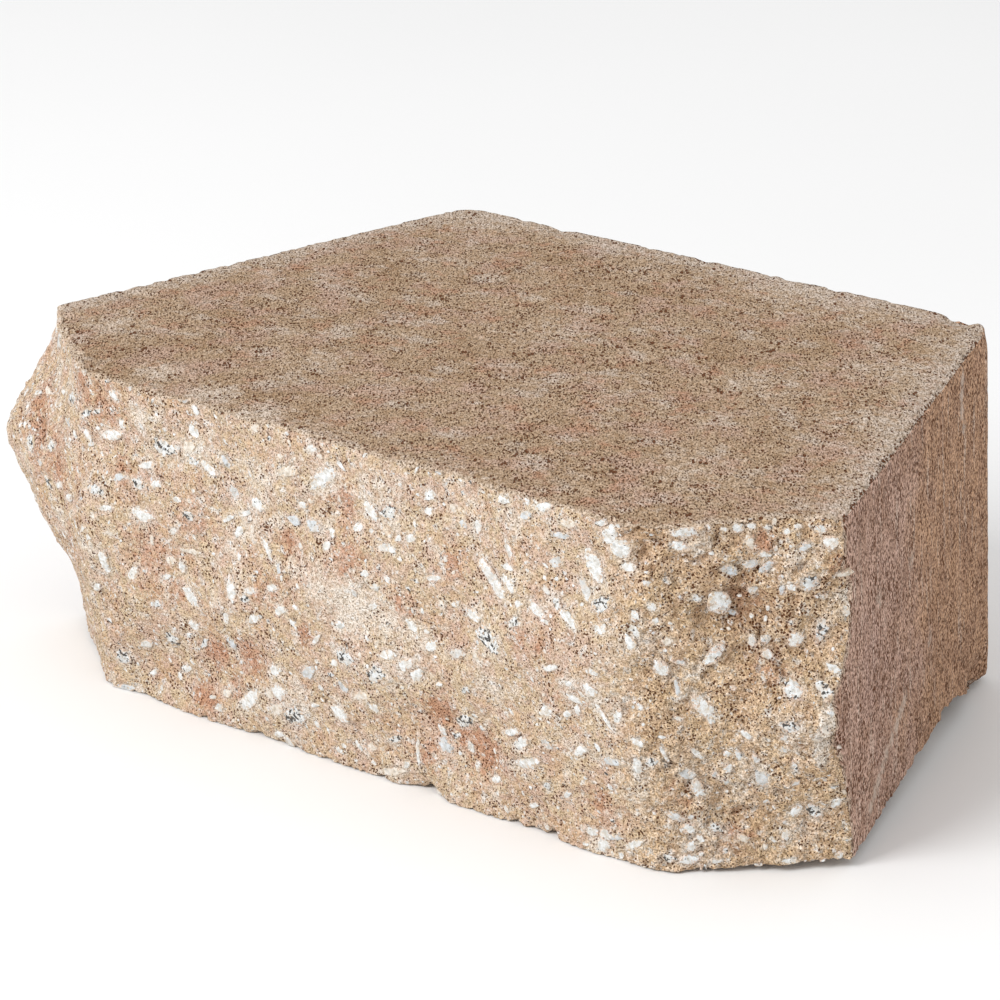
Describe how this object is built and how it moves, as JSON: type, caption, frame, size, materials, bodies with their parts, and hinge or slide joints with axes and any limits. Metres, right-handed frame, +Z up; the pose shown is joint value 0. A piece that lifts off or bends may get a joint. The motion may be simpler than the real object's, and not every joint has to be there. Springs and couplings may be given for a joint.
{
  "type": "retaining wall block",
  "caption": "Concrete garden retaining wall block with a split rock face in three planes, sides drawn in to the back, flat beds and a locating lip under its back edge.",
  "frame": {"origin": "centre of the bounding box at floor level, the block standing alone on its front lower edge and its rear lip", "axes": "+X along the split face, +Y from the split face to the back, +Z up from the floor; the beds lean 4.4 degrees forward because of the lip"},
  "size_m": [0.3084, 0.188, 0.1148],
  "materials": {
    "concrete": "rough, sandy tan dry-cast concrete with pale aggregate on the split face"
  },
  "bodies": {
    "root": {"block": "concrete"}
  },
  "joints": []
}
